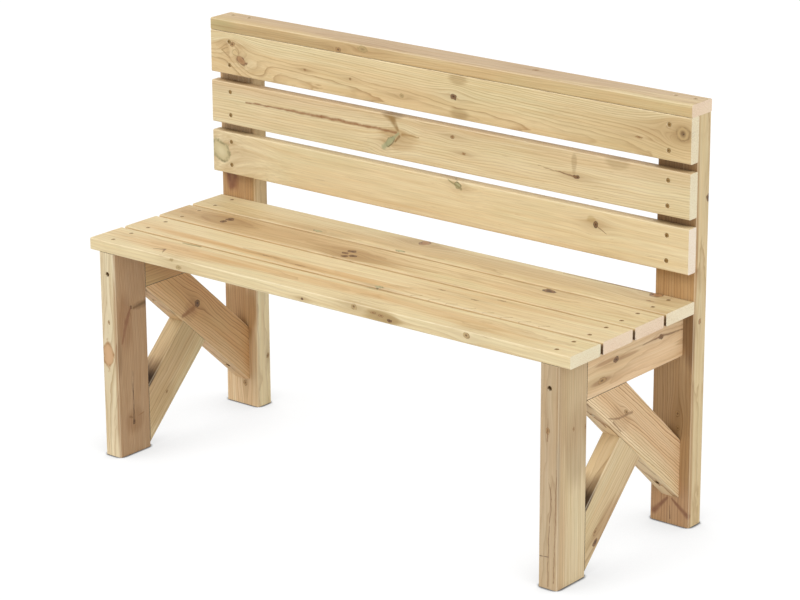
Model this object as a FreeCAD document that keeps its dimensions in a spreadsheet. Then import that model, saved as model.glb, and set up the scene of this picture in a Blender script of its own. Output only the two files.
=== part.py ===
import FreeCAD, Part
import os
import re
import Sketcher

# Outdoor bench of planed, pressure-treated pine. Two end frames, each of a front leg, a rear post, a seat
# bearer and two braces, carry the seat slats. The back slats are screwed to the fronts of the posts, and a
# cap rail lies over the posts and the top slat.
# The origin is on the ground under the middle of the bench. X runs along it, Y to the back and Z up.

SIZES = {
    # overall and seat
    "bench_length": 1200,
    "seat_height": 465,
    "seat_slat_width": 95,
    "seat_slat_gap": 8,
    # frame timber and slat boards
    "timber_width": 90,
    "timber_thickness": 42,
    "timber_arris": 3,
    "board_thickness": 25,
    "board_arris": 3,
    # back
    "back_slat_width": 90,
    "back_slat_gap": 18,
    "back_slat_lift": 58,
    # braces
    "long_brace_drop": 4,
    "long_brace_foot": 58,
    "short_brace_foot": 9,
    "short_brace_angle": 45,
    # countersunk screws of the slats and the cap rail
    "slat_screw_length": 60,
    "slat_shank_diameter": 5,
    "slat_head_diameter": 9,
    "slat_head_rim": 0.4,
    "slat_head_sink": 0.3,
    # washer-head screws of the frames, sunk in a recess
    "frame_shank_diameter": 6,
    "frame_head_diameter": 10,
    "frame_head_height": 4,
    "recess_depth": 12,
    "leg_screw_length": 115,
    "post_screw_length": 85,
    "brace_screw_length": 75,
    "screw_tip_length": 6,
    "screw_tip_diameter": 1,
    "bore_clearance": 0.2,
    # places of the screws
    "seat_screw_end_inset": 45,
    "seat_screw_edge_inset": 21,
    "back_screw_end_inset": 50,
    "back_screw_edge_inset": 20,
    "cap_screw_spread": 44,
    "frame_screw_drop": 45,
    "long_brace_screw_inset": 63,
    "short_brace_screw_inset": 40,
}

SEAT_SLAT_COUNT = 4
BACK_SLATS = ("back_slat_bottom", "back_slat_middle", "back_slat_top")
SIDES = {"left": -1, "right": 1}
# screws and bores repeat, so they are drawn with a few flats instead of round
SCREW_FLATS = 12
FULL_TURN = 360
# sine of the angle under which two edges count as parallel
PARALLEL = 1e-6
ALONG_X = FreeCAD.Vector(1, 0, 0)
ALONG_Y = FreeCAD.Vector(0, 1, 0)
ALONG_Z = FreeCAD.Vector(0, 0, 1)

# Sizes worked out from the driving ones
FORMULAS = {
    "seat_bottom": "seat_height - board_thickness",
    "seat_pitch": "seat_slat_width + seat_slat_gap",
    "seat_depth": f"{SEAT_SLAT_COUNT} * seat_pitch - seat_slat_gap",
    "bench_depth": "seat_depth + timber_thickness",
    "front": "-bench_depth / 2",
    "leg_back": "front + timber_width",
    "post_front": "front + seat_depth",
    "frame_middle": "(bench_length - timber_width) / 2",
    "bearer_bottom": "seat_bottom - timber_width",
    "bearer_length": "seat_depth - timber_width",
    "back_bottom": "seat_height + back_slat_lift",
    "back_pitch": "back_slat_width + back_slat_gap",
    "post_height": f"back_bottom + {len(BACK_SLATS)} * back_pitch - back_slat_gap",
    "slat_front": "post_front - board_thickness",
    "cap_width": "board_thickness + timber_thickness",
    # the long brace's lower edge falls from its nose on the leg to its foot on the post
    "nose_height": "bearer_bottom - long_brace_drop",
    "long_slope": "(nose_height - long_brace_foot) / bearer_length",
    "long_stretch": "sqrt(1 + long_slope * long_slope)",
    "long_cut": "timber_width * long_stretch",
    # the short brace rises from the leg until it meets that edge
    "short_slope": "tan(short_brace_angle)",
    "short_stretch": "1 / cos(short_brace_angle)",
    "short_cut": "timber_width * short_stretch",
    "short_lower_run": "(nose_height - short_brace_foot) / (short_slope + long_slope)",
    "short_upper_run": "(nose_height - short_brace_foot - short_cut) / (short_slope + long_slope)",
    # radii and heights of the screws, from the top of the head
    "slat_head_radius": "slat_head_diameter / 2",
    "slat_shank_radius": "slat_shank_diameter / 2",
    "slat_neck": "-slat_head_rim - slat_head_radius + slat_shank_radius",
    "frame_head_radius": "frame_head_diameter / 2",
    "frame_shank_radius": "frame_shank_diameter / 2",
    "screw_tip_radius": "screw_tip_diameter / 2",
    # how far a bore runs out over the face that its screw is driven into, also where that face is sloped
    "slat_overrun": "slat_head_sink + bore_clearance",
    "recess_overrun": "recess_depth - frame_head_height + frame_head_diameter",
    # heights and runs, from the back of the leg, at which the frame and brace screws enter
    "frame_screw_height": "seat_bottom - frame_screw_drop",
    "upper_screw_run": "long_brace_screw_inset / long_stretch",
    "upper_screw_height": "nose_height - long_slope * upper_screw_run",
    "lower_screw_run": "bearer_length - upper_screw_run",
    "lower_screw_height": "long_brace_foot + long_slope * upper_screw_run",
    "foot_screw_run": "short_brace_screw_inset / short_stretch",
    "foot_screw_height": "short_brace_foot + short_slope * foot_screw_run",
    "head_screw_run": "short_lower_run - foot_screw_run",
    "head_screw_height": "short_brace_foot + short_slope * head_screw_run",
    "head_depth": "recess_depth - frame_head_height",
}

doc = FreeCAD.newDocument("Bench")
sheet = doc.addObject("Spreadsheet::Sheet", "Sizes")
for row, (alias, size) in enumerate(SIZES.items(), start=1):
    sheet.set(f"A{row}", alias)
    sheet.set(f"B{row}", str(size))
    sheet.setAlias(f"B{row}", alias)
doc.recompute()

subparts = []
bore_shapes = []


def expand(formula):
    """The formula with every name in it replaced by the sheet's cells."""
    def cell(match):
        name = match.group()
        if name in SIZES:
            return f"Sizes.{name}"
        if name in FORMULAS:
            return f"({expand(FORMULAS[name])})"
        return name
    return re.sub(r"[a-z_]+", cell, formula)


def number(formula):
    return float(sheet.evalExpression(expand(formula)))


def origin_plane(body, role):
    return [feature for feature in body.Origin.OriginFeatures if feature.Role == role][0]


def sketch_on(body, role):
    """A sketch on one of the body's own planes."""
    sketch = body.newObject("Sketcher::SketchObject", "Sketch")
    sketch.AttachmentSupport = [(origin_plane(body, role), "")]
    sketch.MapMode = "FlatFace"
    return sketch


def pin_point(sketch, geometry, position, place):
    """Ties a point of the sketch to a place given by two formulas, across and up from the origin."""
    for kind, axis, formula in (("DistanceX", -2, place[0]), ("DistanceY", -1, place[1])):
        if formula == "0":
            sketch.addConstraint(Sketcher.Constraint("PointOnObject", geometry, position, axis))
        else:
            index = sketch.addConstraint(
                Sketcher.Constraint(kind, -1, 1, geometry, position, number(formula)))
            sketch.setExpression(f"Constraints[{index}]", expand(formula))


def outline(sketch, corners):
    """A closed outline through corners that are given by formulas."""
    points = [FreeCAD.Vector(number(across), number(up)) for across, up in corners]
    count = len(corners)
    for index in range(count):
        sketch.addGeometry(Part.LineSegment(points[index], points[(index + 1) % count]))
    for index, place in enumerate(corners):
        sketch.addConstraint(Sketcher.Constraint("Coincident", index, 2, (index + 1) % count, 1))
        pin_point(sketch, index, 1, place)


def rectangle(across, up):
    return [("0", "0"), (across, "0"), (across, up), ("0", up)]


def timber(label, role, corners, depth, grain, arris, places):
    """A planed piece: its outline padded by the depth, its edges along the grain eased, its bores cut."""
    body = doc.addObject("PartDesign::Body", f"{label}_timber")
    sketch = sketch_on(body, role)
    outline(sketch, corners)
    pad = body.newObject("PartDesign::Pad", "Pad")
    pad.Profile = sketch
    pad.Reversed = role == "XZ_Plane"
    pad.setExpression("Length", expand(depth))
    doc.recompute()
    along_grain = []
    for index, edge in enumerate(pad.Shape.Edges, start=1):
        if edge.tangentAt(edge.FirstParameter).cross(grain).Length < PARALLEL:
            along_grain.append(f"Edge{index}")
    eased = body.newObject("PartDesign::Fillet", "Eased")
    eased.Base = (pad, along_grain)
    eased.setExpression("Radius", expand(arris))
    for axis, formula in zip("xyz", places):
        body.setExpression(f"Placement.Base.{axis}", expand(formula))
    doc.recompute()
    bored = doc.addObject("Part::Cut", label)
    bored.Label = label
    bored.Base = body
    bored.Tool = bores
    subparts.append(bored)


def plane_face(corners):
    return Part.Face(Part.makePolygon(corners + corners[:1]))


def turned(stations):
    """A solid about Z through rings of flats, each given by the formulas of its radius and its height."""
    rings = []
    for radius, height in stations:
        start = FreeCAD.Vector(number(radius), 0, number(height))
        rings.append([FreeCAD.Rotation(ALONG_Z, FULL_TURN * flat / SCREW_FLATS).multVec(start)
                      for flat in range(SCREW_FLATS)])
    faces = [plane_face(rings[0]), plane_face(rings[-1])]
    for upper, lower in zip(rings, rings[1:]):
        for flat in range(SCREW_FLATS):
            faces.append(plane_face([upper[flat - 1], upper[flat], lower[flat], lower[flat - 1]]))
    shell = Part.makeShell(faces)
    shell.sewShape()
    solid = Part.makeSolid(shell)
    if solid.Volume < 0:
        solid.reverse()
    return solid.removeSplitter()


def countersunk_screw():
    """A slat screw and its bore. It is driven along -Z, with the top of its head at zero."""
    screw = turned([
        ("slat_head_radius", "0"),
        ("slat_head_radius", "-slat_head_rim"),
        ("slat_shank_radius", "slat_neck"),
        ("slat_shank_radius", "screw_tip_length - slat_screw_length"),
        ("screw_tip_radius", "-slat_screw_length"),
    ])
    bore = turned([
        ("slat_head_radius + bore_clearance + slat_head_rim + slat_overrun", "slat_overrun"),
        ("slat_shank_radius + bore_clearance", "slat_neck"),
        ("slat_shank_radius + bore_clearance", "-slat_screw_length - bore_clearance"),
    ])
    return screw, bore


def washer_head_screw(length):
    """A frame screw and its bore, with a recess over the head. It is driven along -Z, like the slat screw."""
    screw = turned([
        ("frame_head_radius", "0"),
        ("frame_head_radius", "-frame_head_height"),
        ("frame_shank_radius", "-frame_head_height"),
        ("frame_shank_radius", f"screw_tip_length - {length}"),
        ("screw_tip_radius", f"-{length}"),
    ])
    bore = turned([
        ("frame_head_radius + bore_clearance", "recess_overrun"),
        ("frame_head_radius + bore_clearance", "-frame_head_height"),
        ("frame_shank_radius + bore_clearance", "-frame_head_height"),
        ("frame_shank_radius + bore_clearance", f"-{length} - bore_clearance"),
    ])
    return screw, bore


def screw_group(label, kind, heads, way):
    """Screws of one kind as separate solids, with their heads at places given by formulas."""
    screw, bore = kind
    turn = FreeCAD.Rotation(-ALONG_Z, way)
    screws = []
    for place in heads:
        placement = FreeCAD.Placement(FreeCAD.Vector(*map(number, place)), turn)
        screws.append(screw.transformed(placement.toMatrix()))
        bore_shapes.append(bore.transformed(placement.toMatrix()))
    group = doc.addObject("Part::Feature", label)
    group.Label = label
    group.Shape = Part.makeCompound(screws)
    subparts.append(group)


def slat_screws():
    kind = countersunk_screw()
    ends = [f"{side} * (bench_length / 2 - seat_screw_end_inset)" for side in SIDES.values()]
    edges = ("seat_screw_edge_inset", "seat_slat_width - seat_screw_edge_inset")
    screw_group("seat_screws", kind,
                [(end, f"front + {index} * seat_pitch + {edge}", "seat_height - slat_head_sink")
                 for index in range(SEAT_SLAT_COUNT) for end in ends for edge in edges], -ALONG_Z)
    ends = [f"{side} * (bench_length / 2 - back_screw_end_inset)" for side in SIDES.values()]
    edges = ("back_screw_edge_inset", "back_slat_width - back_screw_edge_inset")
    screw_group("back_screws", kind,
                [(end, "slat_front + slat_head_sink", f"back_bottom + {index} * back_pitch + {edge}")
                 for index in range(len(BACK_SLATS)) for end in ends for edge in edges], ALONG_Y)
    ends = [f"{side} * frame_middle + {way} * cap_screw_spread / 2"
            for side in SIDES.values() for way in SIDES.values()]
    screw_group("cap_screws", kind,
                [(end, "post_front + timber_thickness / 2", "post_height + board_thickness - slat_head_sink")
                 for end in ends], -ALONG_Z)


def in_both_frames(run, height):
    """A place in the middle of each frame's thickness, at a run from the back of the leg and a height."""
    return [(f"{side} * frame_middle", f"leg_back + {run}", height) for side in SIDES.values()]


def frame_screws():
    """Their heads rest on the floors of the recesses, so their tops lie head_depth below the mouths."""
    screw_group("leg_screws", washer_head_screw("leg_screw_length"),
                in_both_frames("head_depth - timber_width", "frame_screw_height"), ALONG_Y)
    screw_group("post_screws", washer_head_screw("post_screw_length"),
                in_both_frames("bearer_length + timber_thickness - head_depth", "frame_screw_height"), -ALONG_Y)
    brace_kind = washer_head_screw("brace_screw_length")
    screw_group("long_brace_upper_screws", brace_kind,
                in_both_frames("upper_screw_run", "upper_screw_height + head_depth"), ALONG_Z)
    screw_group("long_brace_lower_screws", brace_kind,
                in_both_frames("lower_screw_run + head_depth", "lower_screw_height"), ALONG_Y)
    screw_group("short_brace_upper_screws", brace_kind,
                in_both_frames("head_screw_run", "head_screw_height + head_depth"), ALONG_Z)
    screw_group("short_brace_lower_screws", brace_kind,
                in_both_frames("foot_screw_run - head_depth", "foot_screw_height"), -ALONG_Y)


def seat_slat(index):
    timber(f"seat_slat_{index + 1}", "YZ_Plane", rectangle("seat_slat_width", "board_thickness"),
           "bench_length", ALONG_X, "board_arris",
           ("-bench_length / 2", f"front + {index} * seat_pitch", "seat_bottom"))


def back_slat(index, label):
    timber(label, "YZ_Plane", rectangle("board_thickness", "back_slat_width"),
           "bench_length", ALONG_X, "board_arris",
           ("-bench_length / 2", "slat_front", f"back_bottom + {index} * back_pitch"))


def cap_rail():
    timber("cap_rail", "YZ_Plane", rectangle("cap_width", "board_thickness"),
           "bench_length", ALONG_X, "board_arris", ("-bench_length / 2", "slat_front", "post_height"))


def front_leg(name, side):
    timber(f"front_leg_{name}", "XY_Plane", rectangle("timber_thickness", "timber_width"),
           "seat_bottom", ALONG_Z, "timber_arris",
           (f"{side} * frame_middle - timber_thickness / 2", "front", "0"))


def rear_post(name, side):
    timber(f"rear_post_{name}", "XY_Plane", rectangle("timber_width", "timber_thickness"),
           "post_height", ALONG_Z, "timber_arris",
           (f"{side} * frame_middle - timber_width / 2", "post_front", "0"))


def seat_bearer(name, side):
    timber(f"seat_bearer_{name}", "XZ_Plane", rectangle("timber_thickness", "timber_width"),
           "bearer_length", ALONG_Y, "timber_arris",
           (f"{side} * frame_middle - timber_thickness / 2", "leg_back", "bearer_bottom"))


def long_brace(name, side):
    """From a nose in the corner of leg and bearer down to the post, with level and upright cuts."""
    corners = [("0", "nose_height"), ("bearer_length", "long_brace_foot"),
               ("bearer_length", "long_brace_foot + long_cut"),
               ("(long_cut - long_brace_drop) / long_slope", "bearer_bottom"), ("0", "bearer_bottom")]
    grain = FreeCAD.Vector(0, 1, -number("long_slope")).normalize()
    timber(f"long_brace_{name}", "YZ_Plane", corners, "timber_thickness", grain, "timber_arris",
           (f"{side} * frame_middle - timber_thickness / 2", "leg_back", "0"))


def short_brace(name, side):
    """From the leg up to the underside of the long brace, to which its upper end is cut."""
    corners = [("0", "short_brace_foot"),
               ("short_lower_run", "short_brace_foot + short_slope * short_lower_run"),
               ("short_upper_run", "short_brace_foot + short_cut + short_slope * short_upper_run"),
               ("0", "short_brace_foot + short_cut")]
    grain = FreeCAD.Vector(0, 1, number("short_slope")).normalize()
    timber(f"short_brace_{name}", "YZ_Plane", corners, "timber_thickness", grain, "timber_arris",
           (f"{side} * frame_middle - timber_thickness / 2", "leg_back", "0"))


def check():
    """Stops if any object failed or a sub-part has no sound shape."""
    doc.recompute()
    for thing in doc.Objects:
        if "Invalid" in thing.State or "Error" in thing.State:
            raise RuntimeError(f"{thing.Name} failed: {thing.State}")
    for subpart in subparts:
        shape = subpart.Shape
        if shape.isNull() or not shape.isValid() or not shape.Solids:
            raise RuntimeError(f"{subpart.Label} has no sound shape")
        if subpart.isDerivedFrom("Part::Boolean") and not shape.Volume < subpart.Base.Shape.Volume:
            raise RuntimeError(f"no screw enters {subpart.Label}")


slat_screws()
frame_screws()
bores = doc.addObject("Part::Feature", "bores")
bores.Shape = Part.makeCompound(bore_shapes)
for seat_index in range(SEAT_SLAT_COUNT):
    seat_slat(seat_index)
for back_index, back_label in enumerate(BACK_SLATS):
    back_slat(back_index, back_label)
cap_rail()
for side_name, side_sign in SIDES.items():
    front_leg(side_name, side_sign)
    rear_post(side_name, side_sign)
    seat_bearer(side_name, side_sign)
    long_brace(side_name, side_sign)
    short_brace(side_name, side_sign)
check()

os.makedirs("parts", exist_ok=True)
for subpart in subparts:
    subpart.Shape.exportStep(f"parts/{subpart.Label}.step")
    print(subpart.Label, len(subpart.Shape.Solids), subpart.Shape.BoundBox)
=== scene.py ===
"""An outdoor bench of pressure-treated pine: the wood of every board, the screws and a pale studio."""
import math
from collections import namedtuple

import bpy
from mathutils import Matrix, Vector


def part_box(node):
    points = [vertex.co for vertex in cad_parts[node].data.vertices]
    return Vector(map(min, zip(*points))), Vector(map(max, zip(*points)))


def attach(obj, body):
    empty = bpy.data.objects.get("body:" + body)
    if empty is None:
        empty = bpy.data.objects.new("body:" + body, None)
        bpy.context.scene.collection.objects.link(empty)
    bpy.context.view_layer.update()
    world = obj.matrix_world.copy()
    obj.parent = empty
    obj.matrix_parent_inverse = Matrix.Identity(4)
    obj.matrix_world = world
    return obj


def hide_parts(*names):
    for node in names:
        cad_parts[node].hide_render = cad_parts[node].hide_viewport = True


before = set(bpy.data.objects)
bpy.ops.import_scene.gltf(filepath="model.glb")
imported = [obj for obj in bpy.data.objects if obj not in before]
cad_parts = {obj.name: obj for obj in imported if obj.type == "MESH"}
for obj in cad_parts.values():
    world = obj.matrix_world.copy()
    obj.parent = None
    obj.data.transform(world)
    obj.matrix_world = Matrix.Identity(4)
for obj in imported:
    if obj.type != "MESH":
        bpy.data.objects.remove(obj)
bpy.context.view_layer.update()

MM = 0.001
ALONG = Vector((1, 0, 0))
BACK = Vector((0, 1, 0))
UP = Vector((0, 0, 1))
SMOOTH = "SMOOTHSTEP"


def linear(hex_colour):
    """A colour from its sRGB hex value."""
    shares = [int(hex_colour[start:start + 2], 16) / 255 for start in (1, 3, 5)]
    return [share / 12.92 if share <= 0.04045 else ((share + 0.055) / 1.055) ** 2.4
            for share in shares] + [1]


def add(tree, kind, inputs=None, **settings):
    """Adds a node with its settings and links.

    An input gets a value, an output of another node, or a node, which stands for its first output.
    """
    node = tree.nodes.new(kind)
    for name, value in settings.items():
        setattr(node, name, value)
    for name, value in (inputs or {}).items():
        if isinstance(name, str):
            socket = next(socket for socket in node.inputs if socket.name == name and socket.enabled)
        else:
            socket = node.inputs[name]
        if isinstance(value, bpy.types.Node):
            value = next(output for output in value.outputs if output.enabled)
        if isinstance(value, bpy.types.NodeSocket):
            tree.links.new(value, socket)
        else:
            socket.default_value = value
    return node


# Wood. Sizes in its patterns are in millimetres, and a board's own directions are along its grain, across
# its width and through its thickness, from the middle of its box.

THROUGH = (0, 0, 1)
EDGEWISE = (0, 1, 0)
# how far from the middle the faces with marks lie: slats, their edges, and a timber's wide and narrow faces
FACE = 12
SEAT_FRONT = -47
SEAT_BACK = 47
CAP_FRONT = -33
WIDE = 21
NARROW = 45

# where a branch crosses the board, its radius, its tones, how many times longer its cut is along the
# grain, and which way it grew
Knot = namedtuple("Knot", "middle radius kind stretch axis", defaults=(1.4, THROUGH))
# a check, a streak of resin or a branch cut lengthwise, with its width at either end
Streak = namedtuple("Streak", "start end widths tone")
# a soft-edged tint with its half sizes along, across and through the board
Patch = namedtuple("Patch", "middle reach tone strength")
# a board's directions, its colours, where its pith lay and how far the heartwood reached from it, the width
# of a ring, how fast the rings climb along the board, how plainly they show and how far they wander, its
# marks, and how much painted shade and dirt its joints and nooks take
Board = namedtuple("Board", "grain width sap heart ends pith heartwood ring taper lines wander "
                   "knots streaks patches grime", defaults=((), (), (), 1.0))

# a knot's wood, its bark and its core
DEAD = ("#7E5630", "#422C1A", "#46301C")
BROWN = ("#B48E5C", "#80603A", "#6E5030")
RED = ("#AE8458", "#6E4C2E", "#A47A50")
GREEN = ("#ABA67A", "#6C5C38", "#B4B088")
PALE = ("#CDBE92", "#8E8258", "#DACDA4")
PINK = ("#C99E72", "#A87E50", "#D0A87E")
SMEAR = ("#B99F6E", "#A88E5E", "#A0865A")
EYE = ("#C2A472", "#8A6C42", "#7A5C38")
RINGED = ("#D8BE8E", "#A28354", "#D4B886")

# sawn ends, as the saw and the treatment left them
CREAM = "#F6E9CC"
ROSY = "#F1D8C0"
GREENISH = "#EFE4C6"

RESIN = "#93663B"
SCAR = "#84563A"
CHECK = "#523720"
SPIKE = "#84603C"
BARK = "#5E4428"
OLIVE = "#8C7E50"
LATEWOOD = "#B08C5E"
TREATMENT = "#CFC594"
KNOT_SHADE = "#9A7648"
CANAL = "#9A7040"
ARRIS_HIGHLIGHT_AND_WEAR = "#F4E6C6"

# the seat slats take none of the painted shade and dirt of the joints and nooks
SEAT_SHADE_AND_GRIME = 0.0
# painted shade low in the gaps of the seat and in their right ends, a warm tone on the edges above it that
# stands in for light bounced in the gaps, and a painted shadow where the short braces meet the legs
FRONT_GAP_SHADE = Patch((0, SEAT_FRONT, -14), (900, 4, 14), "#4A3620", 0.85)
BACK_GAP_SHADE = Patch((0, SEAT_BACK, -14), (900, 4, 14), "#4A3620", 0.85)
GAP_EDGE_BOUNCE_TINT = Patch((0, SEAT_FRONT, 9), (900, 2, 4), "#DBB984", 0.6)
END_GAP_SHADE = Patch((600, SEAT_FRONT, -3), (9, 2, 13), "#54381E", 0.9)
BRACE_NOOK_SHADOW = (Patch((-44, 68, 0), (48, 4, 60), "#6E4C28", 0.6),
             Patch((-56, 68, 0), (34, 4, 60), "#3E2812", 0.9))

# The long brace falls and the short brace rises from the leg to the back.
LONG_FALL = 288
BEARER_LENGTH = 314
long_grain = Vector((0, BEARER_LENGTH, -LONG_FALL)).normalized()
long_width = Vector((0, LONG_FALL, BEARER_LENGTH)).normalized()
short_grain = Vector((0, 1, 1)).normalized()
short_width = Vector((0, -1, 1)).normalized()

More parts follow.
